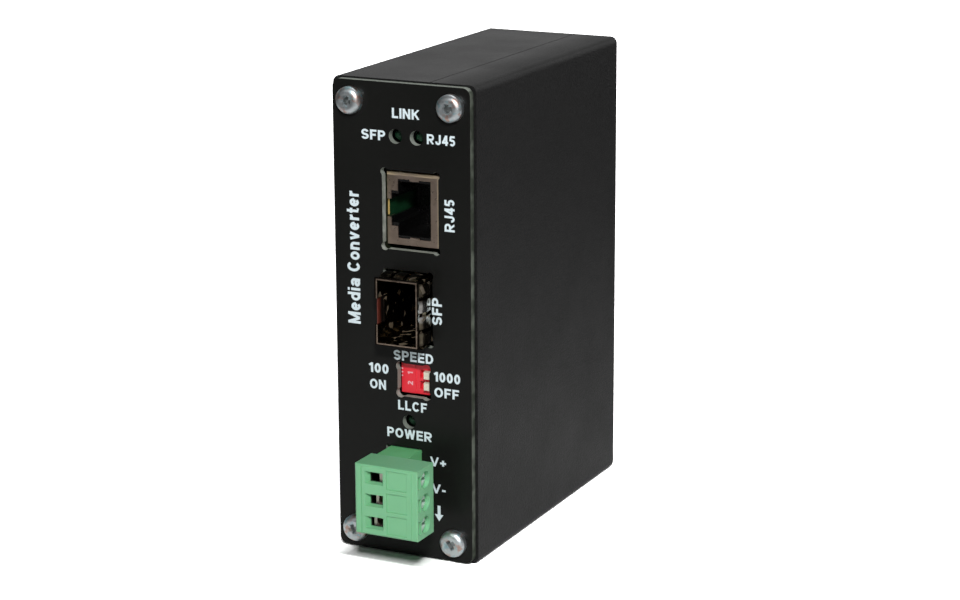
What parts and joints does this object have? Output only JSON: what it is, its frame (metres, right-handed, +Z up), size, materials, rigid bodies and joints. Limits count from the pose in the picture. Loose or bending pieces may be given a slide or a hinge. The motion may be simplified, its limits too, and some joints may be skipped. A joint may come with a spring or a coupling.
{
  "type": "fibre media converter",
  "caption": "Upright rail-mounted network media converter: split black case, fibre module cage, copper socket, slide switches, lamps and a pluggable screw terminal.",
  "frame": {"origin": "centre of the case's underside, on the surface it stands on", "axes": "+Z up, -Y out of the front panel, +X to the right as seen from the front"},
  "size_m": [0.0344, 0.0993, 0.1063],
  "materials": {
    "case_coating": "fine textured matt black powder coat",
    "panel_mask": "satin black solder mask on glass-fibre laminate",
    "zinc_screw": "bright zinc plate",
    "board_mask": "green solder mask",
    "socket_shell": "dull nickel plate",
    "black_moulding": "matt black moulding",
    "gold_contact": "thin gold flash",
    "cage_metal": "dark bright nickel plate",
    "brown_film": "brown insulating film",
    "red_moulding": "matt red moulding",
    "cream_moulding": "satin cream moulding",
    "tinned_metal": "tin plate",
    "lamp_lens": "clear dark green resin",
    "green_moulding": "satin green moulding",
    "grey_ferrite": "dull dark grey",
    "tan_ceramic": "dull tan ceramic",
    "clip_moulding": "satin black moulding",
    "spring_steel": "bright spring wire"
  },
  "bodies": {
    "chassis": {"case_body": "case_coating", "case_cover": "case_coating", "front_panel": "panel_mask", "rear_panel": "case_coating", "front_screws": "zinc_screw", "rear_screws": "zinc_screw", "main_board": "board_mask", "rj45_shield": "socket_shell", "rj45_housing": "black_moulding", "rj45_insert": "black_moulding", "rj45_contacts": "gold_contact", "sfp_cage": "cage_metal", "sfp_spring_collar": "cage_metal", "sfp_connector": "black_moulding", "cage_insulator": "brown_film", "dip_body": "red_moulding", "dip_carrier": "black_moulding", "dip_pins": "tinned_metal", "link_lamp_holder": "black_moulding", "power_lamp_holder": "black_moulding", "link_lamp_fibre": "lamp_lens", "link_lamp_copper": "lamp_lens", "power_lamp": "lamp_lens", "terminal_header": "green_moulding", "header_pins": "gold_contact", "controller_chip": "black_moulding", "memory_chip": "black_moulding", "regulator_chip": "black_moulding", "magnetics_module": "black_moulding", "crystal": "tinned_metal", "power_inductor": "grey_ferrite", "electrolytic_capacitors": "tinned_metal", "input_diode": "black_moulding", "ceramic_capacitors": "tan_ceramic", "din_base": "clip_moulding", "din_spring": "spring_steel", "din_screws": "zinc_screw", "din_nuts": "zinc_screw"},
    "plug": {"plug_housing": "green_moulding", "plug_contacts": "gold_contact"},
    "dip_switch_1": {"dip_slider_1": "cream_moulding"},
    "dip_switch_2": {"dip_slider_2": "cream_moulding"},
    "latch": {"din_latch": "clip_moulding"},
    "screw_1": {"plug_screw_1": "zinc_screw"},
    "clamp_1": {"plug_clamp_1": "tinned_metal"},
    "screw_2": {"plug_screw_2": "zinc_screw"},
    "clamp_2": {"plug_clamp_2": "tinned_metal"},
    "screw_3": {"plug_screw_3": "zinc_screw"},
    "clamp_3": {"plug_clamp_3": "tinned_metal"}
  },
  "joints": [
    {"name": "plug_pull", "type": "slide", "parent": "chassis", "child": "plug", "axis": [0, -1, 0], "range_m": [0, 0.009]},
    {"name": "dip_1_slide", "type": "slide", "parent": "chassis", "child": "dip_switch_1", "axis": [-1, 0, 0], "range_m": [0, 0.00105]},
    {"name": "dip_2_slide", "type": "slide", "parent": "chassis", "child": "dip_switch_2", "axis": [-1, 0, 0], "range_m": [0, 0.00105]},
    {"name": "latch_pull", "type": "slide", "parent": "chassis", "child": "latch", "axis": [0, 0, -1], "range_m": [0, 0.003], "stiffness_N_per_m": 1500, "springref_m": -0.003, "deforming": ["din_spring"]},
    {"name": "screw_1_turn", "type": "hinge", "parent": "plug", "child": "screw_1", "pos_m": [0.0079, -0.0492, 0.02217], "axis": [-1, 0, 0], "range_deg": [-1445, 149]},
    {"name": "clamp_1_lift", "type": "slide", "parent": "plug", "child": "clamp_1", "axis": [1, 0, 0], "range_m": [-0.002, 0.0002]},
    {"name": "screw_2_turn", "type": "hinge", "parent": "plug", "child": "screw_2", "pos_m": [0.0079, -0.0492, 0.01709], "axis": [-1, 0, 0], "range_deg": [-797, 797]},
    {"name": "clamp_2_lift", "type": "slide", "parent": "plug", "child": "clamp_2", "axis": [1, 0, 0], "range_m": [-0.0011, 0.0011]},
    {"name": "screw_3_turn", "type": "hinge", "parent": "plug", "child": "screw_3", "pos_m": [0.0079, -0.0492, 0.01201], "axis": [-1, 0, 0], "range_deg": [-401, 1193]},
    {"name": "clamp_3_lift", "type": "slide", "parent": "plug", "child": "clamp_3", "axis": [1, 0, 0], "range_m": [-0.00055, 0.00165]}
  ],
  "couplings": [
    {"joint": "screw_1_turn", "follows": "clamp_1_lift", "rad_per_m": 12566},
    {"joint": "screw_2_turn", "follows": "clamp_2_lift", "rad_per_m": 12566},
    {"joint": "screw_3_turn", "follows": "clamp_3_lift", "rad_per_m": 12566}
  ]
}
